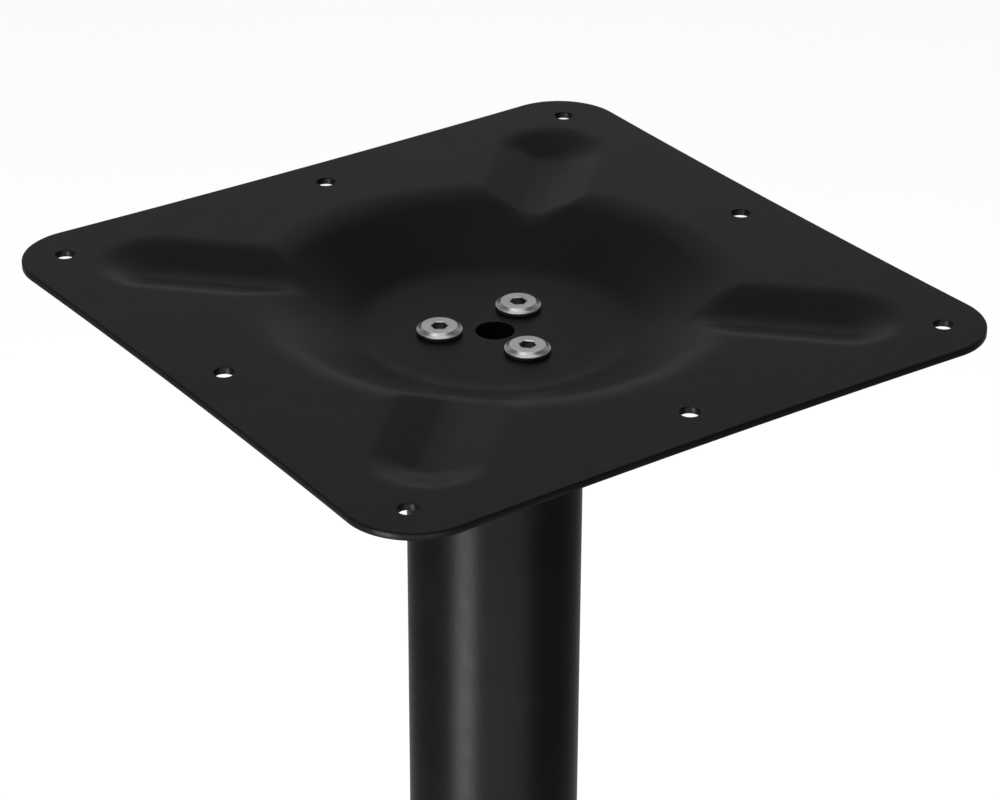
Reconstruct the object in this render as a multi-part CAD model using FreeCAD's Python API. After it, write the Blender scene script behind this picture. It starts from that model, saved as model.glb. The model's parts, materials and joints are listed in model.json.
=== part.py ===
import FreeCAD, Part
import math
import os

# Base of a bar table: a pressed steel top plate, bolted to a round column that stands on a
# flat plate with four levelling glides. Sizes are in millimetres. The origin is on the floor
# in the column's axis, +Z is up, and the plates' sides run along X and Y.

overall_height = 1035.0

# Top plate, pressed from one sheet
sheet = 3.0
plate_side = 306.4
plate_corner_r = 29.0
side_bow = 1.6
edge_chamfer = 1.0
screw_hole_d = 8.5
screw_hole_inset = 21.2

# Round dish in the middle of the top plate, measured on its upper side
dish_depth = 19.6
dish_to_screw_holes = 32.5
dish_floor_ledge = 16.4
rim_bend_r = 12.0
floor_bend_r = 12.0

# Channels pressed along the diagonals, measured on the upper side
channel_depth = 8.0
channel_flank_deg = 24.5
channel_bottom_r = 28.85
channel_end_to_hole = 17.1

# Column, with a disc welded into its upper end and the base plate welded to its lower end
column_d = 76.2
column_wall = 2.0
disc_thickness = 8.0
disc_gap = 0.1
middle_hole_d = 16.6

# Bolts that clamp the top plate to the column's disc
bolt_count = 3
bolt_circle_d = 47.0
bolt_first_deg = 30.0
bolt_d = 8.0
bolt_length = 16.0
bolt_head_d = 20.0
bolt_head_rim = 2.0
bolt_head_chamfer = 1.5
bolt_head_top_d = 15.2
bolt_socket = 6.0
bolt_socket_depth = 4.5
bolt_clearance_d = 9.0
thread_gap = 0.08

# Base plate
base_side = 450.0
base_thickness = 10.0
base_corner_r = 40.0
base_edge_chamfer = 1.0

# Levelling glides, each a hexagon foot moulded on a stud that screws into the base plate
glide_inset = 40.0
glide_foot = 24.0
glide_foot_height = 10.0
glide_foot_gap = 0.3
glide_stud_d = 8.0
glide_stud_end = 0.5

# Sizes that follow from the ones above
screw_line = plate_side / 2 - screw_hole_inset
dish_rim_r = screw_line - dish_to_screw_holes
dish_floor_r = column_d / 2 + dish_floor_ledge
column_bore = column_d - 2 * column_wall
base_bottom = glide_foot_height + glide_foot_gap
base_top = base_bottom + base_thickness
column_top = overall_height - dish_depth - sheet
glide_line = base_side / 2 - glide_inset
DIAGONAL = math.sqrt(2)
SPARE = 5.0
SLIGHT = 0.01

ORIGIN = FreeCAD.Vector(0, 0, 0)
UP = FreeCAD.Vector(0, 0, 1)


def vec(x, y, z=0.0):
    return FreeCAD.Vector(x, y, z)


def raised(shape, height):
    shape.translate(vec(0, 0, height))
    return shape


def turned(outline):
    """Solid of revolution from the (radius, height) corners of its closed half section."""
    corners = [vec(r, 0, z) for r, z in outline]
    return Part.Face(Part.makePolygon(corners + corners[:1])).revolve(ORIGIN, UP, 360)


def cylinder(diameter, height, bottom=0.0):
    return Part.makeCylinder(diameter / 2, height, vec(0, 0, bottom))


def hexagon(across_flats, height, bottom=0.0):
    turns = [math.radians(60 * step) for step in range(6)]
    corner_r = across_flats / math.sqrt(3)
    corners = [vec(corner_r * math.cos(turn), corner_r * math.sin(turn), bottom) for turn in turns]
    return Part.Face(Part.makePolygon(corners + corners[:1])).extrude(vec(0, 0, height))


def around(shape, count, radius, first_deg=0.0):
    """Copies of a shape, moved out by a radius and spread evenly about the Z axis."""
    copies = []
    for step in range(count):
        copy = shape.copy()
        copy.translate(vec(radius, 0))
        copy.rotate(ORIGIN, UP, first_deg + 360.0 / count * step)
        copies.append(copy)
    return copies


def square_of_arcs(side_edge, corner_edge):
    """Closed face from one side and one corner, each repeated on all four quarters."""
    edges = []
    for edge in (side_edge, corner_edge):
        edges += around(edge, 4, 0)
    return Part.Face(Part.Wire(Part.sortEdges(edges)[0]))


def bowed_square(side, corner_r, bow):
    """Square with round corners, whose sides curve inward by bow at their middle."""
    middle = side / 2 - bow
    corner = side / 2 - corner_r
    bow_r = (corner**2 + (middle - corner) ** 2 - corner_r**2) / (2 * bow)
    bow_centre = vec(0, middle + bow_r)
    corner_centre = vec(corner, corner)
    joint = bow_centre + (corner_centre - bow_centre) * (bow_r / (bow_r + corner_r))
    reach = corner + corner_r / math.sqrt(2)
    side_edge = Part.Arc(vec(-joint.x, joint.y), vec(0, middle), joint).toShape()
    corner_edge = Part.Arc(joint, vec(reach, reach), vec(joint.y, joint.x)).toShape()
    return square_of_arcs(side_edge, corner_edge)


def rounded_square(side, corner_r):
    half = side / 2
    corner = half - corner_r
    reach = corner + corner_r / math.sqrt(2)
    side_edge = Part.makeLine(vec(-corner, half), vec(corner, half))
    corner_edge = Part.Arc(vec(corner, half), vec(reach, reach), vec(half, corner)).toShape()
    return square_of_arcs(side_edge, corner_edge)


def dish_space():
    """Space of the dish: a flat floor with a conical wall, open above the plate."""
    flare = (dish_rim_r - dish_floor_r) / dish_depth * SPARE
    outline = [
        (0, -dish_depth),
        (dish_floor_r, -dish_depth),
        (dish_rim_r + flare, SPARE),
        (0, SPARE),
    ]
    space = turned(outline)
    # The wall's seam is turned into a channel, away from the bends.
    space.rotate(ORIGIN, UP, 45)
    return space


def channel_section():
    """Half of a channel's section in the XZ plane, an arc and a straight flank, and its width."""
    flank = math.radians(channel_flank_deg)
    bottom = vec(0, 0, -channel_depth)
    bend = vec(channel_bottom_r * math.sin(flank / 2), 0, channel_bottom_r * (1 - math.cos(flank / 2)))
    foot = vec(channel_bottom_r * math.sin(flank), 0, channel_bottom_r * (1 - math.cos(flank)))
    foot += bottom
    top = vec(foot.x + (SPARE - foot.z) / math.tan(flank), 0, SPARE)
    middle = vec(0, 0, SPARE)
    edges = [
        Part.Arc(bottom, bottom + bend, foot).toShape(),
        Part.makeLine(foot, top),
        Part.makeLine(top, middle),
        Part.makeLine(middle, bottom),
    ]
    half_width = foot.x - foot.z / math.tan(flank)
    return Part.Face(Part.Wire(edges)), half_width


def channel_space():
    """Space of one channel along X: a trough out of the dish, with a round end."""
    section, half_width = channel_section()
    end = screw_line * DIAGONAL - channel_end_to_hole - half_width
    start = (dish_rim_r + dish_floor_r) / 2
    round_end = section.revolve(ORIGIN, UP, 360)
    # The round end's seam is turned back into the trough.
    round_end.rotate(ORIGIN, UP, 180)
    section.rotate(ORIGIN, UP, 90)
    near_half = section.extrude(vec(start - end, 0))
    far_half = near_half.mirror(ORIGIN, vec(0, 1, 0))
    space = round_end.multiFuse([near_half, far_half]).removeSplitter()
    space.translate(vec(end, 0))
    return space


def pressed_block():
    """Deep block with the dish and the channels in its upper side, all folds still sharp."""
    width = plate_side + 2 * SPARE
    block = Part.makeBox(width, width, 3 * dish_depth, vec(-width / 2, -width / 2, -3 * dish_depth))
    channels = around(channel_space(), 4, 0, 45)
    return block.cut(dish_space().multiFuse(channels)).removeSplitter()


def fold_lines(block):
    """Edges of a pressed block where the sheet folds: the dish's floor ring, and the rims."""
    floor_ring = []
    rims = []
    for edge in block.Edges:
        faces = block.ancestorsOfType(edge, Part.Face)
        if len(faces) != 2:
            continue
        middle = edge.valueAt((edge.FirstParameter + edge.LastParameter) / 2)
        normals = [face.normalAt(*face.Surface.parameter(middle)) for face in faces]
        fold = math.degrees(normals[0].getAngle(normals[1]))
        if not 1 < fold < 60:
            continue
        at_floor = edge.BoundBox.ZMax < SLIGHT - dish_depth
        (floor_ring if at_floor else rims).append(edge)
    return floor_ring, rims


def top_plate():
    """Pressed sheet at its own height: the flat of its upper side is at zero."""
    block = pressed_block()
    lower = raised(block.copy(), -sheet)
    upper = block.makeFillet(rim_bend_r, fold_lines(block)[1])
    upper = upper.makeFillet(floor_bend_r, fold_lines(upper)[0])
    outline = bowed_square(plate_side, plate_corner_r, side_bow)
    prism = raised(outline, -2 * dish_depth).extrude(vec(0, 0, 3 * dish_depth))
    plate = upper.cut(lower).common(prism)
    flats = [face for face in plate.Faces if face.BoundBox.ZMin > -SLIGHT]
    flat = max(flats, key=lambda face: face.Area)
    plate = plate.makeChamfer(edge_chamfer, flat.OuterWire.Edges)
    hole = cylinder(screw_hole_d, 3 * sheet, -2 * sheet)
    floor_hole = raised(cylinder(bolt_clearance_d, 3 * sheet, -2 * sheet), -dish_depth)
    holes = around(hole, 4, screw_line)
    holes += around(hole, 4, screw_line * DIAGONAL, 45)
    holes += around(floor_hole, bolt_count, bolt_circle_d / 2, bolt_first_deg)
    holes.append(raised(cylinder(middle_hole_d, 3 * sheet, -2 * sheet), -dish_depth))
    return raised(plate.cut(holes), overall_height)


def column_tube():
    length = column_top - base_top
    return cylinder(column_d, length, base_top).cut(cylinder(column_bore, length, base_top))


def column_disc():
    """Disc welded flush into the column's upper end, tapped for the bolts."""
    bottom = column_top - disc_thickness
    disc = cylinder(column_bore - 2 * disc_gap, disc_thickness, bottom)
    tapped = cylinder(bolt_d + 2 * thread_gap, disc_thickness, bottom)
    holes = around(tapped, bolt_count, bolt_circle_d / 2, bolt_first_deg)
    holes.append(cylinder(middle_hole_d, disc_thickness, bottom))
    return disc.cut(holes)


def column_bolts():
    """Cap bolts down through the dish, with wide chamfered heads and hexagon sockets."""
    head_height = bolt_head_rim + bolt_head_chamfer
    outline = [
        (0, -bolt_length),
        (bolt_d / 2, -bolt_length),
        (bolt_d / 2, 0),
        (bolt_head_d / 2, 0),
        (bolt_head_d / 2, bolt_head_rim),
        (bolt_head_top_d / 2, head_height),
        (0, head_height),
    ]
    socket = hexagon(bolt_socket, bolt_socket_depth, head_height - bolt_socket_depth)
    bolt = raised(turned(outline).cut(socket), overall_height - dish_depth)
    return Part.makeCompound(around(bolt, bolt_count, bolt_circle_d / 2, bolt_first_deg))


def base_plate():
    plate = rounded_square(base_side, base_corner_r).extrude(vec(0, 0, base_thickness))
    top_edges = [edge for edge in plate.Edges if edge.BoundBox.ZMin > base_thickness - SLIGHT]
    plate = raised(plate.makeChamfer(base_edge_chamfer, top_edges), base_bottom)
    tapped = cylinder(glide_stud_d + 2 * thread_gap, base_thickness, base_bottom)
    return plate.cut(around(tapped, 4, glide_line * DIAGONAL, 45))


def glide():
    """Levelling glide, screwed right in: its stud ends just inside the base plate."""
    foot = hexagon(glide_foot, glide_foot_height)
    stud_length = base_top - glide_stud_end - glide_foot_height
    return foot.fuse(cylinder(glide_stud_d, stud_length, glide_foot_height))


os.makedirs("parts", exist_ok=True)
pieces = {
    "top_plate": top_plate(),
    "column_tube": column_tube(),
    "column_disc": column_disc(),
    "column_bolts": column_bolts(),
    "base_plate": base_plate(),
}
for number, shape in enumerate(around(glide(), 4, glide_line * DIAGONAL, 45), start=1):
    pieces[f"glide_{number}"] = shape
for name, shape in pieces.items():
    shape.exportStep(f"parts/{name}.step")
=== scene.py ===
import json
import math

import bmesh
import bpy
import numpy as np
from mathutils import Matrix, Vector
from mathutils.geometry import delaunay_2d_cdt
from mathutils.kdtree import KDTree


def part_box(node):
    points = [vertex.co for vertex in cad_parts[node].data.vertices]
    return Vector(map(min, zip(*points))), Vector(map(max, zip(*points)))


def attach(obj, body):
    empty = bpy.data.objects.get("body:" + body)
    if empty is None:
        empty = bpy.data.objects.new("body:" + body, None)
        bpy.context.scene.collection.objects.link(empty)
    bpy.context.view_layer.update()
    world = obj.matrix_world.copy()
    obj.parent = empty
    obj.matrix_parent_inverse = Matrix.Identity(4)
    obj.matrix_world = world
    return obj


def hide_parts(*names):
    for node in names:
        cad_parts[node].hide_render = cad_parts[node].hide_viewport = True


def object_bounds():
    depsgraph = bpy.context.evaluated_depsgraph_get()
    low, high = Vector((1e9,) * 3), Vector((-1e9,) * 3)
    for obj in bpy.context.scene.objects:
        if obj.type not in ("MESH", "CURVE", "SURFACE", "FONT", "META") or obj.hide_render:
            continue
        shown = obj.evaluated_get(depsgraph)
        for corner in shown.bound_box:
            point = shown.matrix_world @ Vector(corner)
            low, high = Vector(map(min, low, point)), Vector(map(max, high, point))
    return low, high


# Looks of the bar table base: a pressed top plate, a column and a flat base plate on four
# levelling glides. Places are in metres. Sizes are in millimetres, times MM.

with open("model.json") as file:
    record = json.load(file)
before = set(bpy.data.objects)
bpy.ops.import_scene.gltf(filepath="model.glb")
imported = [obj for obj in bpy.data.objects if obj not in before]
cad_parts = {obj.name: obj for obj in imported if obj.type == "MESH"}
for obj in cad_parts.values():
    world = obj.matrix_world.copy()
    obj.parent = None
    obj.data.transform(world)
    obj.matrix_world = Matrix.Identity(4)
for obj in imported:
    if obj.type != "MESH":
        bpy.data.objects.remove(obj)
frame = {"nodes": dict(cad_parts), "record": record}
cad_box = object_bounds()

MM = 0.001
DIAGONAL = math.sqrt(2)


# Camera, at the photograph's viewing angle

CAMERA_PLACE = Vector((-0.70307, -0.99746, 1.63603))
CAMERA_TARGET = Vector((-0.01050, -0.01865, 0.99357))
CAMERA_ROLL_DEG = 0.232
CAMERA_LENS_MM = 116.84
CAMERA_SENSOR_MM = 36.0


def add_camera():
    data = bpy.data.cameras.new("camera")
    data.sensor_width = CAMERA_SENSOR_MM
    data.lens = CAMERA_LENS_MM
    data.clip_end = 200.0
    camera = bpy.data.objects.new("camera", data)
    bpy.context.scene.collection.objects.link(camera)
    aim = (CAMERA_TARGET - CAMERA_PLACE).to_track_quat("-Z", "Y")
    roll = Matrix.Rotation(math.radians(CAMERA_ROLL_DEG), 4, "Z")
    camera.matrix_world = Matrix.Translation(CAMERA_PLACE) @ aim.to_matrix().to_4x4() @ roll
    bpy.context.scene.camera = camera


# Materials


class Nodes:
    """A material's node tree, with short ways to add and join nodes."""

    def __init__(self, name):
        self.material = bpy.data.materials.new(name)
        self.material.use_nodes = True
        self.tree = self.material.node_tree
        self.shader = self.tree.nodes["Principled BSDF"]

    def add(self, kind, **values):
        node = self.tree.nodes.new(kind)
        for name, value in values.items():
            setattr(node, name, value)
        return node

    def join(self, start, end):
        self.tree.links.new(start, end)

    def place(self):
        return self.add("ShaderNodeTexCoord").outputs["Object"]

    def noise(self, size, detail=2.0, roughness=0.5):
        """Noise whose features are about size across."""
        node = self.add("ShaderNodeTexNoise")
        node.inputs["Scale"].default_value = 1 / size
        node.inputs["Detail"].default_value = detail
        node.inputs["Roughness"].default_value = roughness
        self.join(self.place(), node.inputs["Vector"])
        return node.outputs["Fac"]

    def span(self, source, low, high, start=0.3, end=0.7):
        """The source, from start to end, spread over low to high."""
        node = self.add("ShaderNodeMapRange")
        node.inputs["From Min"].default_value = start
        node.inputs["From Max"].default_value = end
        node.inputs["To Min"].default_value = low
        node.inputs["To Max"].default_value = high
        self.join(source, node.inputs["Value"])
        return node.outputs["Result"]

    def between(self, source, first, second, start=0.3, end=0.7):
        """A colour between two others, by the source."""
        node = self.add("ShaderNodeMix", data_type="RGBA")
        node.inputs["A"].default_value = (*first, 1)
        node.inputs["B"].default_value = (*second, 1)
        self.join(self.span(source, 0, 1, start, end), node.inputs["Factor"])
        return node.outputs["Result"]

    def bump(self, source, depth, base=None):
        node = self.add("ShaderNodeBump")
        node.inputs["Distance"].default_value = depth
        node.inputs["Strength"].default_value = 1.0
        self.join(source, node.inputs["Height"])
        if base:
            self.join(base, node.inputs["Normal"])
        return node.outputs["Normal"]


def powder_coat():
    """Black powder coat, satin, with a fine orange peel.

    It mirrors far less than a real coat, which the white backdrop would make too pale.
    """
    nodes = Nodes("powder_coat")
    shader = nodes.shader
    shader.inputs["Specular IOR Level"].default_value = 0.031
    colour = nodes.between(nodes.noise(35 * MM), (0.0020, 0.0020, 0.0022), (0.0028, 0.0028, 0.0030))
    nodes.join(colour, shader.inputs["Base Color"])
    nodes.join(nodes.span(nodes.noise(8 * MM), 0.36, 0.39), shader.inputs["Roughness"])
    peel = nodes.bump(nodes.noise(1.6 * MM, detail=1.0), 0.05 * MM)
    grain = nodes.bump(nodes.noise(0.5 * MM, detail=1.0), 0.016 * MM, peel)
    nodes.join(grain, shader.inputs["Normal"])
    return nodes.material


def zinc():
    """Bright zinc plate, smooth, with a faint cloudiness."""
    nodes = Nodes("bolt_steel")
    shader = nodes.shader
    shader.inputs["Metallic"].default_value = 1.0
    colour = nodes.between(nodes.noise(5 * MM), (0.20, 0.198, 0.194), (0.235, 0.232, 0.227))
    nodes.join(colour, shader.inputs["Base Color"])
    nodes.join(nodes.span(nodes.noise(3 * MM), 0.27, 0.33), shader.inputs["Roughness"])
    nodes.join(nodes.bump(nodes.noise(0.8 * MM), 0.002 * MM), shader.inputs["Normal"])
    return nodes.material


def nylon():
    """Black moulded nylon, faintly grained."""
    nodes = Nodes("glide_plastic")
    shader = nodes.shader
    shader.inputs["Specular IOR Level"].default_value = 0.3
    colour = nodes.between(nodes.noise(9 * MM), (0.011, 0.011, 0.012), (0.016, 0.016, 0.017))
    nodes.join(colour, shader.inputs["Base Color"])
    nodes.join(nodes.span(nodes.noise(3 * MM), 0.42, 0.55), shader.inputs["Roughness"])
    nodes.join(nodes.bump(nodes.noise(0.4 * MM), 0.01 * MM), shader.inputs["Normal"])
    return nodes.material


# Floor, backdrop and light

WHITE = (1.0, 1.0, 1.0, 1.0)
CEILING = (0.32, 0.32, 0.33, 1.0)
FLOOR_HALF = 30.0
FLOOR_LIT_SHARE = 0.25
FLOOR_GLOW = 0.84

# Reflections see the floor white along a sweep behind the object, and at the share ASIDE_GLOW at
# its sides. The sweep fades with the distance from its middle line, and the floor at its sides
# turns white again with the distance from the column.

SWEEP_FADE_START = 0.78
SWEEP_FADE_END = 1.2
ASIDE_GLOW = 0.30
ASIDE_FADE_START = 2.6
ASIDE_FADE_END = 4.5

# Heights on the sky's unit sphere between which the white backdrop turns into the ceiling

BACKDROP_TOP = 0.38
CEILING_START = 0.69

# Share of the part's height that the lamps are aimed at

AIM_SHARE = 0.8


def smooth_range(tree, source, start, end, low, high):
    """The source's rise from start to end, as a soft change from low to high."""
    node = tree.nodes.new("ShaderNodeMapRange")
    node.interpolation_type = "SMOOTHSTEP"
    node.inputs["From Min"].default_value = start
    node.inputs["From Max"].default_value = end
    node.inputs["To Min"].default_value = low
    node.inputs["To Max"].default_value = high
    tree.links.new(source, node.inputs["Value"])
    return node.outputs["Result"]


def calculated(tree, operation, first, second=None):
    """The outcome of a sum on one or two sources."""
    node = tree.nodes.new("ShaderNodeMath")
    node.operation = operation
    tree.links.new(first, node.inputs[0])
    if second:
        tree.links.new(second, node.inputs[1])
    return node.outputs["Value"]


def seen_rays(tree):
    """One for camera, glossy and transmission rays, so that metal shows the background too."""
    rays = tree.nodes.new("ShaderNodeLightPath")
    total = rays.outputs["Is Camera Ray"]
    for name in ("Is Glossy Ray", "Is Transmission Ray"):
        total = calculated(tree, "MAXIMUM", total, rays.outputs[name])
    return total


def add_world():
    """White backdrop all round the horizon, under a plain grey ceiling."""
    world = bpy.data.worlds.new("studio")
    bpy.context.scene.world = world
    world.use_nodes = True
    tree = world.node_tree
    ceiling = tree.nodes["Background"]
    ceiling.inputs["Color"].default_value = CEILING
    backdrop = tree.nodes.new("ShaderNodeBackground")
    backdrop.inputs["Color"].default_value = WHITE
    place = tree.nodes.new("ShaderNodeTexCoord")
    split = tree.nodes.new("ShaderNodeSeparateXYZ")
    tree.links.new(place.outputs["Generated"], split.inputs["Vector"])
    below_ceiling = smooth_range(tree, split.outputs["Z"], BACKDROP_TOP, CEILING_START, 1, 0)
    mix = tree.nodes.new("ShaderNodeMixShader")
    tree.links.new(calculated(tree, "MULTIPLY", seen_rays(tree), below_ceiling), mix.inputs["Fac"])
    tree.links.new(ceiling.outputs["Background"], mix.inputs[1])
    tree.links.new(backdrop.outputs["Background"], mix.inputs[2])
    tree.links.new(mix.outputs["Shader"], tree.nodes["World Output"].inputs["Surface"])


def sweep_share(tree):
    """One to the camera and on the white sweep behind the object; reflections see less aside."""
    ahead = CAMERA_TARGET - CAMERA_PLACE
    place = tree.nodes.new("ShaderNodeTexCoord").outputs["Object"]
    aside = tree.nodes.new("ShaderNodeVectorMath")
    aside.operation = "DOT_PRODUCT"
    aside.inputs[1].default_value = Vector((ahead.y, -ahead.x, 0)).normalized()
    tree.links.new(place, aside.inputs[0])
    away = tree.nodes.new("ShaderNodeVectorMath")
    away.operation = "LENGTH"
    tree.links.new(place, away.inputs[0])
    off_sweep = calculated(tree, "ABSOLUTE", aside.outputs["Value"])
    near = smooth_range(tree, off_sweep, SWEEP_FADE_START, SWEEP_FADE_END, 1, ASIDE_GLOW)
    far = smooth_range(tree, away.outputs["Value"], ASIDE_FADE_START, ASIDE_FADE_END, ASIDE_GLOW, 1)
    reflected = calculated(tree, "MAXIMUM", near, far)
    rays = tree.nodes.new("ShaderNodeLightPath")
    return calculated(tree, "MAXIMUM", reflected, rays.outputs["Is Camera Ray"])


def floor_material():
    """Pale floor: white to the camera, less the share that the object's shadow takes."""
    material = bpy.data.materials.new("floor")
    material.use_nodes = True
    tree = material.node_tree
    tree.nodes.remove(tree.nodes["Principled BSDF"])
    lit = tree.nodes.new("ShaderNodeBsdfDiffuse")
    lit.inputs["Color"].default_value = (FLOOR_LIT_SHARE, FLOOR_LIT_SHARE, FLOOR_LIT_SHARE, 1)
    glow = tree.nodes.new("ShaderNodeEmission")
    strength = tree.nodes.new("ShaderNodeMath")
    strength.operation = "MULTIPLY"
    strength.inputs[1].default_value = FLOOR_GLOW
    tree.links.new(seen_rays(tree), strength.inputs[0])
    share = calculated(tree, "MULTIPLY", strength.outputs["Value"], sweep_share(tree))
    tree.links.new(share, glow.inputs["Strength"])
    both = tree.nodes.new("ShaderNodeAddShader")
    tree.links.new(lit.outputs["BSDF"], both.inputs[0])
    tree.links.new(glow.outputs["Emission"], both.inputs[1])
    tree.links.new(both.outputs["Shader"], tree.nodes["Material Output"].inputs["Surface"])
    return material


def add_floor():
    mesh = bpy.data.meshes.new("floor")
    corners = [(x * FLOOR_HALF, y * FLOOR_HALF, 0) for x, y in ((-1, -1), (1, -1), (1, 1), (-1, 1))]
    mesh.from_pydata(corners, [], [(0, 1, 2, 3)])
    mesh.materials.append(floor_material())
    floor = bpy.data.objects.new("floor", mesh)
    bpy.context.scene.collection.objects.link(floor)


def add_lamp(name, azimuth_deg, height, distance, width, tall, radiance):
    """Soft box at an azimuth about the column, counted like the camera's, aimed at its upper part."""
    turn = math.radians(azimuth_deg)
    place = Vector((math.sin(turn) * distance, -math.cos(turn) * distance, height))
    target = Vector((0, 0, cad_box[1][2] * AIM_SHARE))
    data = bpy.data.lights.new(name, "AREA")
    data.shape = "RECTANGLE"
    data.size = width
    data.size_y = tall
    data.energy = radiance * width * tall * math.pi
    lamp = bpy.data.objects.new(name, data)
    bpy.context.scene.collection.objects.link(lamp)
    lamp.location = place
    lamp.rotation_euler = (target - place).to_track_quat("-Z", "Y").to_euler()


def add_lights():
    """Soft boxes. The strip and the front light are strong, so that the dull coat shows them."""
    add_lamp("key_light", -75, 2.6, 1.4, 1.4, 1.4, 3.4)
    add_lamp("top_light", -35, 2.9, 0.1, 1.6, 1.6, 2.4)
    add_lamp("strip_light", -72, 0.36, 1.2, 0.44, 0.36, 92.0)
    add_lamp("front_light", -20, 0.36, 1.2, 1.20, 0.36, 12.5)
    add_lamp("back_light", 150, 2.9, 1.6, 1.5, 1.5, 1.6)


# Sizes of the top end

plate_low, plate_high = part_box("top_plate")
column_low, column_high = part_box("column_tube")
bolts_low, bolts_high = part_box("column_bolts")
base_low, base_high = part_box("base_plate")
glide_low, glide_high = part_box("glide_1")

SHEET = 3.0 * MM
PLATE_CORNER_R = 29 * MM
SIDE_BOW = 1.6 * MM
SCREW_HOLE_R = 4.25 * MM
SCREW_LINE = plate_high.x - 21.2 * MM

DISH_DEPTH = plate_high.z - plate_low.z - SHEET
DISH_RIM_R = SCREW_LINE - 32.5 * MM
DISH_FLOOR_R = column_high.x + 16.4 * MM
DISH_SLOPE = DISH_DEPTH / (DISH_RIM_R - DISH_FLOOR_R)
DISH_RIM_BEND = 38 * MM
DISH_FLOOR_BEND = 32 * MM

CHANNEL_DEPTH = 6.3 * MM
CHANNEL_FLANK = math.radians(17.5)
CHANNEL_BOTTOM_R = 22 * MM
CHANNEL_END_TO_HOLE = 17.1 * MM
CHANNEL_RIM_BEND = 22 * MM
LIP_BEND = 42 * MM
LIP_FADE = 8 * MM
LIP_SMALLEST_SHARE = 0.001

BOLT_COUNT = 3
BOLT_FIRST = math.radians(30)
BOLT_CIRCLE_R = 23.5 * MM
BOLT_HOLE_R = 4.5 * MM
BOLT_R = 4 * MM
BOLT_HEAD_R = 9.85 * MM
BOLT_HEAD_TOP_R = 7.6 * MM
BOLT_COVE_R = 8.8 * MM
BOLT_COVE_RISE = 0.4 * MM
BOLT_HEAD_RIM = 2.0 * MM
BOLT_HEAD_HEIGHT = bolts_high.z - plate_high.z + DISH_DEPTH
BOLT_LENGTH = bolts_high.z - bolts_low.z - BOLT_HEAD_HEIGHT
SOCKET_HALF = 3.2 * MM
SOCKET_DEPTH = 4 * MM
SOCKET_EDGE = 0.3 * MM
SOCKET_CONE = 0.5 * MM
SOCKET_RING_R = 4.2 * MM
BOLT_TIP = 0.8 * MM
BOLT_SHOULDER_BEND = 0.5 * MM
BOLT_EDGE_BEND = 0.3 * MM
BOLT_COVE_BEND = 2.5 * MM
BOLT_TURNS_DEG = (2, 55, 44)
BOLT_SIDES = 96
SOCKET_TIP_SHARE = 0.02
MIDDLE_HOLE_R = 8.3 * MM
HOLE_SIDES = 60


# Sizes of the lower end

COLUMN_WALL = 2 * MM
COLUMN_END_BEND = 0.5 * MM
COLUMN_SIDES = 144
BASE_CORNER_R = 40 * MM
GLIDE_LINE = (glide_low.x + glide_high.x) / 2
GLIDE_FOOT_HALF = 12 * MM
GLIDE_FOOT_HEIGHT = 10 * MM
STUD_R = 4 * MM
STUD_ROOT_R = 3.35 * MM
STUD_HOLE_R = 4.08 * MM
FOOT_CORNER_R = 1.5 * MM
FOOT_TREAD_BEND = 1.2 * MM
FOOT_TOP_BEND = 0.6 * MM
FOOT_CORNER_POINTS = 8
FOOT_MIDDLE_SHARE = 0.01
THREAD_PITCH = 1.25 * MM
THREAD_SIDES = 48
THREAD_LEVELS = 8
THREAD_FLAT_SHARE = 0.15


# Edges, rolled over as sheared and cut plates have them

ROLL_STEPS = 5
EDGE_RING_SHARES = (0.3, 0.9)
CLEAR_SHARE = 0.5
PLATE_ROLL = 0.5 * MM
HOLE_ROLL = 0.15 * MM
SHEARED_ROLL = 0.06 * MM
BASE_ROLL = 1.2 * MM
PLATE_PITCH = 2.0 * MM
BASE_PITCH = 6.0 * MM
STRAIGHT_BOW = 0.001 * MM
SHARP_ANGLE = math.radians(40)
WELD_DISTANCE = 0.0005 * MM


# The form pressed into the top plate


def soft_min(first, second, reach):
    """The lower of two heights, with the fold between them rounded."""
    near = np.clip(1 - np.abs(first - second) / reach, 0, 1)
    return np.minimum(first, second) - reach * near**2 / 4


def fold_reach(bend_r, slope):
    """The difference in height at which soft_min starts to round a fold of that bend radius."""
    return bend_r * slope**2 / 2


def dish_height(x, y):
    """Round dish with a flat floor and a conical wall."""
    wall_depth = (DISH_RIM_R - np.hypot(x, y)) * DISH_SLOPE
    bowl = -soft_min(wall_depth, DISH_DEPTH, fold_reach(DISH_FLOOR_BEND, DISH_SLOPE))
    return soft_min(bowl, 0, fold_reach(DISH_RIM_BEND, DISH_SLOPE))


def channel_height(x, y):
    """Four channels along the diagonals, with an arc below, straight flanks and round ends."""
    slope = math.tan(CHANNEL_FLANK)
    foot = CHANNEL_BOTTOM_R * math.sin(CHANNEL_FLANK)
    foot_rise = CHANNEL_BOTTOM_R * (1 - math.cos(CHANNEL_FLANK))
    half_width = foot + (CHANNEL_DEPTH - foot_rise) / slope
    end = SCREW_LINE * DIAGONAL - CHANNEL_END_TO_HOLE - half_width
    along = (np.abs(x) + np.abs(y)) / DIAGONAL
    aside = np.abs(np.abs(x) - np.abs(y)) / DIAGONAL
    across = np.hypot(np.maximum(along - end, 0), aside)
    bottom = CHANNEL_BOTTOM_R - np.sqrt(CHANNEL_BOTTOM_R**2 - np.minimum(across, foot) ** 2)
    flank = np.maximum(across - foot, 0) * slope
    return soft_min(bottom + flank - CHANNEL_DEPTH, 0, fold_reach(CHANNEL_RIM_BEND, slope))


def pressed_height(x, y):
    """Height of the pressed sheet's upper side over its flat."""
    dish = dish_height(x, y)
    channel = channel_height(x, y)
    below_flat = np.clip(-np.maximum(dish, channel) / LIP_FADE, LIP_SMALLEST_SHARE, 1)
    return soft_min(dish, channel, fold_reach(LIP_BEND, DISH_SLOPE) * below_flat)


def no_height(x, y):
    return np.zeros(len(x))


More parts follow.
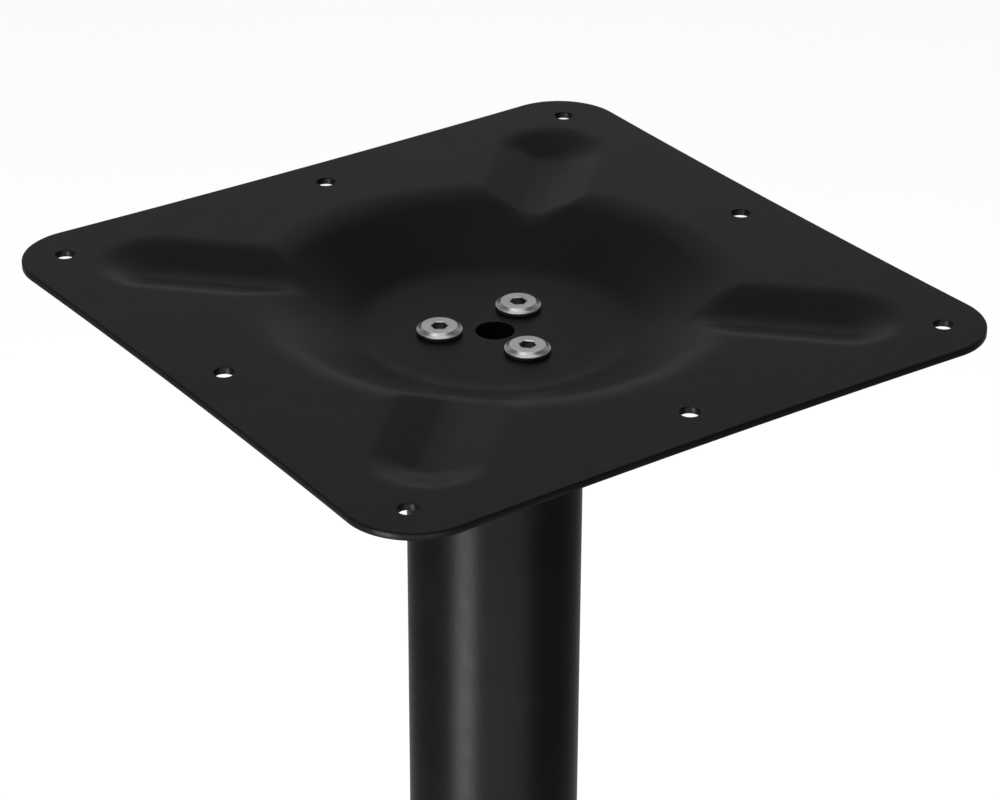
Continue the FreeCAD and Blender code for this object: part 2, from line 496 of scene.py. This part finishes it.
# Loops and rings of points


def round_points(radius, count):
    turn = np.arange(count) * 2 * math.pi / count
    return np.stack([radius * np.cos(turn), radius * np.sin(turn)], axis=1)


def all_quarters(points):
    """Points repeated at every quarter turn about the Z axis."""
    quarters = [points]
    for step in range(3):
        last = quarters[-1]
        quarters.append(np.stack([-last[:, 1], last[:, 0]], axis=1))
    return np.concatenate(quarters)


def square_loop(half, corner_r, bow, pitch):
    """Points round a square with round corners, whose sides bow in, and normals into it."""
    corner = half - corner_r
    side_count = round(2 * corner / pitch)
    corner_count = round(corner_r * math.pi / 2 / pitch)
    bow_r = ((corner_r - bow) ** 2 + corner**2 - corner_r**2) / (2 * bow)
    lean = math.atan2(corner, corner_r - bow + bow_r)
    turn = np.linspace(-lean, lean, side_count, endpoint=False)
    side_in = np.stack([-np.cos(turn), np.sin(turn)], axis=1)
    side = (half - bow + bow_r, 0) + bow_r * side_in
    turn = np.linspace(-lean, math.pi / 2 + lean, corner_count, endpoint=False)
    spoke = np.stack([np.cos(turn), np.sin(turn)], axis=1)
    points = np.concatenate([side, corner + corner_r * spoke])
    return all_quarters(points), all_quarters(np.concatenate([side_in, -spoke]))


def hole_loop(x, y, radius):
    """Points round a hole, and normals into the plate round it."""
    return round_points(radius, HOLE_SIDES) + (x, y), round_points(1, HOLE_SIDES)


def polygon_loop(half_flat, sides, corner_r, count):
    """Points round a polygon with round corners, as many for each corner."""
    corner_reach = (half_flat - corner_r) / math.cos(math.pi / sides)
    points = []
    for step in range(sides):
        middle = 2 * math.pi * step / sides
        for turn in middle + np.linspace(-1, 1, count) * math.pi / sides:
            points.append(
                (
                    corner_reach * math.cos(middle) + corner_r * math.cos(turn),
                    corner_reach * math.sin(middle) + corner_r * math.sin(turn),
                )
            )
    return np.array(points)


def staggered_points(half, pitch):
    """Evenly spread points over a square, each row shifted by half a step."""
    rows = np.arange(-half, half, pitch * math.sqrt(3) / 2)
    columns = np.arange(-half, half, pitch)
    shift = (np.arange(len(rows)) % 2) * pitch / 2
    x = columns[None, :] + shift[:, None]
    y = np.repeat(rows[:, None], len(columns), axis=1)
    return np.stack([x.ravel(), y.ravel()], axis=1)


def clear_of_ring(points, ring, inward, margin):
    """The points that lie more than a margin inside a ring."""
    tree = KDTree(len(ring))
    for index, point in enumerate(ring):
        tree.insert((*point, 0), index)
    tree.balance()
    nearest = [tree.find((*point, 0))[1] for point in points]
    inside = ((points - ring[nearest]) * inward[nearest]).sum(axis=1)
    return points[inside > margin]


def roll_drop(depth, roll):
    """How far a rolled edge lies below its face, at a depth into the plate from the edge."""
    return roll - np.sqrt(roll**2 - np.maximum(roll - depth, 0) ** 2)


# Mesh pieces


def smooth_piece(name, vertices, faces, body, slot, nodes, place=(0, 0, 0), turn=0.0):
    """Closed mesh in a slot's finish, which rides on a body and stands for its CAD nodes."""
    mesh = bpy.data.meshes.new(name)
    mesh.from_pydata(vertices, [], faces)
    work = bmesh.new()
    work.from_mesh(mesh)
    bmesh.ops.remove_doubles(work, verts=work.verts, dist=WELD_DISTANCE)
    bmesh.ops.holes_fill(work, edges=[edge for edge in work.edges if edge.is_boundary])
    bmesh.ops.recalc_face_normals(work, faces=work.faces)
    for face in work.faces:
        face.smooth = True
    work.to_mesh(mesh)
    work.free()
    mesh.set_sharp_from_angle(angle=SHARP_ANGLE)
    mesh.materials.append(finishes[slot])
    piece = bpy.data.objects.new(name, mesh)
    piece.location = place
    piece.rotation_euler.z = turn
    bpy.context.scene.collection.objects.link(piece)
    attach(piece, body)
    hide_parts(*nodes)
    return piece


def ring_faces(ring_count, point_count):
    """Faces between closed rings of points; the ends stay open."""
    faces = []
    for low in range(0, (ring_count - 1) * point_count, point_count):
        high = low + point_count
        for point in range(point_count):
            after = (point + 1) % point_count
            faces.append((low + point, low + after, high + after, high + point))
    return faces


def stacked_piece(name, rings, body, slot, nodes, place=(0, 0, 0), turn=0.0):
    """Closed mesh through rings, each a loop of flat points and its height, or their heights."""
    vertices = []
    for loop, height in rings:
        heights = np.broadcast_to(height, len(loop))
        vertices += np.column_stack([loop, heights]).tolist()
    faces = ring_faces(len(rings), len(rings[0][0]))
    return smooth_piece(name, vertices, faces, body, slot, nodes, place, turn)


def rounded_path(corners, steps=4):
    """A path through (radius, height, bend) corners, with each bend as an arc."""
    path = []
    for index, (r, z, bend) in enumerate(corners):
        here = Vector((r, z))
        if not bend:
            path.append(here)
            continue
        back = (Vector(corners[index - 1][:2]) - here).normalized()
        ahead = (Vector(corners[index + 1][:2]) - here).normalized()
        half_angle = back.angle(ahead) / 2
        centre = here + (back + ahead).normalized() * bend / math.sin(half_angle)
        first = (here + back * bend / math.tan(half_angle) - centre).normalized()
        last = (here + ahead * bend / math.tan(half_angle) - centre).normalized()
        for step in range(steps + 1):
            path.append(centre + first.slerp(last, step / steps) * bend)
    return path


def triangulated(loops, pitch):
    """Triangles over a plate: flat points, faces, depths from the edge, and rolls."""
    fill = staggered_points(loops[0][0].max(), pitch)
    points = []
    details = []
    constraints = []
    start = 0
    for number, (loop, inward, roll) in enumerate(loops):
        count = len(loop)
        over_roll = roll * (1 - np.cos(np.linspace(0, math.pi / 2, ROLL_STEPS)))
        past_roll = [roll + share * pitch for share in EDGE_RING_SHARES]
        for depth in (*over_roll, *past_roll):
            points.append(loop + inward * depth)
            edge = number if depth == 0 else -1
            details.append(np.tile([depth, roll, edge], (count, 1)))
            ring = np.arange(start, start + count)
            constraints += zip(ring.tolist(), np.roll(ring, -1).tolist())
            start += count
        fill = clear_of_ring(fill, points[-1], inward, CLEAR_SHARE * pitch)
    points.append(fill)
    details.append(np.tile([pitch, pitch, -1], (len(fill), 1)))
    flat = [Vector(point) for point in np.concatenate(points)]
    corners, _, faces, origins, _, _ = delaunay_2d_cdt(flat, constraints, [], 0, 1e-8)
    depth, roll, edge = np.concatenate(details)[[origin[0] for origin in origins]].T
    kept = [face for face in faces if edge[face[0]] < 0 or len(set(edge[list(face)])) > 1]
    return np.array(corners), kept, depth, roll


def plate_piece(name, loops, height, thickness, top, pitch, body, slot, nodes):
    """A plate from loops of (points, inward normals, roll), rolled above and sheared below."""
    corners, faces, depth, roll = triangulated(loops, pitch)
    x, y = corners.T
    face_height = height(x, y) + top
    upper = face_height - roll_drop(depth, roll)
    lower = face_height - thickness + roll_drop(depth, np.full(len(x), SHEARED_ROLL))
    open_sides = set()
    for face in faces:
        for side in zip(face, face[1:] + face[:1]):
            if side[::-1] in open_sides:
                open_sides.remove(side[::-1])
            else:
                open_sides.add(side)
    count = len(x)
    walls = [(a, a + count, b + count, b) for a, b in sorted(open_sides)]
    under = [tuple(index + count for index in reversed(face)) for face in faces]
    above = np.column_stack([x, y, upper])
    below = np.column_stack([x, y, lower])
    vertices = np.concatenate([above, below]).tolist()
    return smooth_piece(name, vertices, [*faces, *under, *walls], body, slot, nodes)


# The stand


def bolt_turns():
    return [BOLT_FIRST + 2 * math.pi * step / BOLT_COUNT for step in range(BOLT_COUNT)]


def add_top_plate():
    outline = square_loop(plate_high.x, PLATE_CORNER_R, SIDE_BOW, PLATE_PITCH)
    loops = [(*outline, PLATE_ROLL)]
    for x in (-SCREW_LINE, 0, SCREW_LINE):
        for y in (-SCREW_LINE, 0, SCREW_LINE):
            radius = SCREW_HOLE_R if x or y else MIDDLE_HOLE_R
            loops.append((*hole_loop(x, y, radius), HOLE_ROLL))
    for turn in bolt_turns():
        x = BOLT_CIRCLE_R * math.cos(turn)
        y = BOLT_CIRCLE_R * math.sin(turn)
        loops.append((*hole_loop(x, y, BOLT_HOLE_R), HOLE_ROLL))
    plate_piece(
        "pressed_top_plate",
        loops,
        pressed_height,
        SHEET,
        plate_high.z,
        PLATE_PITCH,
        "stand",
        "powder_coat",
        ["top_plate"],
    )


def bolt_rings():
    """Rings of one cap bolt from its tip, over its head and down into its socket."""
    circle = round_points(1, BOLT_SIDES)
    outline = [
        (BOLT_R - BOLT_TIP, -BOLT_LENGTH, 0),
        (BOLT_R, BOLT_TIP - BOLT_LENGTH, 0),
        (BOLT_R, 0, 0),
        (BOLT_HEAD_R, 0, BOLT_SHOULDER_BEND),
        (BOLT_HEAD_R, BOLT_HEAD_RIM, BOLT_EDGE_BEND),
        (BOLT_COVE_R, BOLT_HEAD_RIM + BOLT_COVE_RISE, BOLT_COVE_BEND),
        (BOLT_HEAD_TOP_R, BOLT_HEAD_HEIGHT, BOLT_EDGE_BEND),
        (SOCKET_RING_R, BOLT_HEAD_HEIGHT, 0),
    ]
    rings = [(circle * r, z) for r, z in rounded_path(outline)]
    turn = np.arange(BOLT_SIDES) * 2 * math.pi / BOLT_SIDES
    from_flat = np.abs((turn + math.pi / 6) % (math.pi / 3) - math.pi / 6)
    socket_r = SOCKET_HALF / np.cos(from_flat)
    socket = circle * socket_r[:, None]
    mouth = socket * (1 + SOCKET_EDGE / SOCKET_HALF)
    bottom = BOLT_HEAD_HEIGHT - SOCKET_DEPTH
    rings.append((mouth, BOLT_HEAD_HEIGHT))
    rings.append((socket, BOLT_HEAD_HEIGHT - SOCKET_EDGE))
    rings.append((socket, bottom))
    rings.append((socket * SOCKET_TIP_SHARE, bottom - SOCKET_CONE))
    return rings


def add_bolts():
    rings = bolt_rings()
    floor = plate_high.z - DISH_DEPTH
    for number, turn in enumerate(bolt_turns()):
        x = BOLT_CIRCLE_R * math.cos(turn)
        y = BOLT_CIRCLE_R * math.sin(turn)
        stacked_piece(
            f"cap_bolt_{number + 1}",
            rings,
            "stand",
            "bolt_steel",
            ["column_bolts"],
            (x, y, floor),
            math.radians(BOLT_TURNS_DEG[number]),
        )


def add_column():
    outer = column_high.x
    inner = outer - COLUMN_WALL
    outline = [
        (inner, column_low.z, 0),
        (outer, column_low.z, 0),
        (outer, column_high.z, COLUMN_END_BEND),
        (inner, column_high.z, 0),
        (inner, column_low.z, 0),
    ]
    rings = [(round_points(r, COLUMN_SIDES), z) for r, z in rounded_path(outline)]
    stacked_piece("round_column", rings, "stand", "powder_coat", ["column_tube"])


def add_base_plate():
    outline = square_loop(base_high.x, BASE_CORNER_R, STRAIGHT_BOW, BASE_PITCH)
    loops = [(*outline, BASE_ROLL)]
    for x in (-GLIDE_LINE, GLIDE_LINE):
        for y in (-GLIDE_LINE, GLIDE_LINE):
            loops.append((*hole_loop(x, y, STUD_HOLE_R), HOLE_ROLL))
    plate_piece(
        "flat_base_plate",
        loops,
        no_height,
        base_high.z - base_low.z,
        base_high.z,
        BASE_PITCH,
        "stand",
        "powder_coat",
        ["base_plate"],
    )


# Levelling glides


def foot_rings():
    """Rings of a moulded hexagon foot, from its tread up, each a loop and its height."""
    top = GLIDE_FOOT_HEIGHT
    outline = [
        (0, 0, 0),
        (GLIDE_FOOT_HALF, 0, FOOT_TREAD_BEND),
        (GLIDE_FOOT_HALF, top, FOOT_TOP_BEND),
        (STUD_R, top, 0),
    ]
    hexagon = polygon_loop(GLIDE_FOOT_HALF, 6, FOOT_CORNER_R, FOOT_CORNER_POINTS)
    rings = []
    for r, z in rounded_path(outline):
        rings.append((hexagon * max(r / GLIDE_FOOT_HALF, FOOT_MIDDLE_SHARE), z))
    return rings


def add_stud(number, place):
    """Threaded stud, from the foot's top to its end inside the base plate."""
    length = glide_high.z - GLIDE_FOOT_HEIGHT
    turn = np.linspace(0, 1, THREAD_SIDES + 1)
    level = np.arange(-THREAD_LEVELS, length / THREAD_PITCH * THREAD_LEVELS + 1)
    height = (level[:, None] / THREAD_LEVELS + turn[None, :]) * THREAD_PITCH
    height = np.clip(height, 0, length)
    crest = 1 - np.abs(2 * (level % THREAD_LEVELS) / THREAD_LEVELS - 1)
    crest = (1 + 2 * THREAD_FLAT_SHARE) * crest - THREAD_FLAT_SHARE
    crest = np.clip(crest, 0, 1)[:, None]
    fade = np.clip(height / THREAD_PITCH, 0, 1) * np.clip((length - height) / THREAD_PITCH, 0, 1)
    radius = STUD_ROOT_R + (STUD_R - STUD_ROOT_R) * crest * fade
    angle = turn[None, :] * 2 * math.pi
    x = radius * np.cos(angle)
    y = radius * np.sin(angle)
    vertices = np.stack([x, y, height + GLIDE_FOOT_HEIGHT], axis=2).reshape(-1, 3).tolist()
    width = THREAD_SIDES + 1
    faces = []
    for row in range(len(level) - 1):
        for column in range(THREAD_SIDES):
            low = row * width + column
            faces.append((low, low + 1, low + 1 + width, low + width))
    name = f"glide_stud_{number}"
    body = f"levelling_glide_{number}"
    smooth_piece(name, vertices, faces, body, "bolt_steel", [f"glide_{number}"], place)


def add_glides():
    rings = foot_rings()
    for number in range(1, 5):
        low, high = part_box(f"glide_{number}")
        place = ((low.x + high.x) / 2, (low.y + high.y) / 2, 0)
        turn = math.atan2(place[1], place[0])
        name = f"glide_foot_{number}"
        body = f"levelling_glide_{number}"
        nodes = [f"glide_{number}"]
        stacked_piece(name, rings, body, "glide_plastic", nodes, place, turn)
        add_stud(number, place)


bpy.context.scene.view_settings.view_transform = "Standard"
add_camera()
add_world()
add_floor()
add_lights()

finishes = {
    "powder_coat": powder_coat(),
    "bolt_steel": zinc(),
    "glide_plastic": nylon(),
}
for row in frame["record"]["subparts"]:
    mesh = frame["nodes"][row["node"]].data
    mesh.materials.clear()
    mesh.materials.append(finishes[row["material_slot"]])

add_top_plate()
add_bolts()
add_column()
add_base_plate()
add_glides()
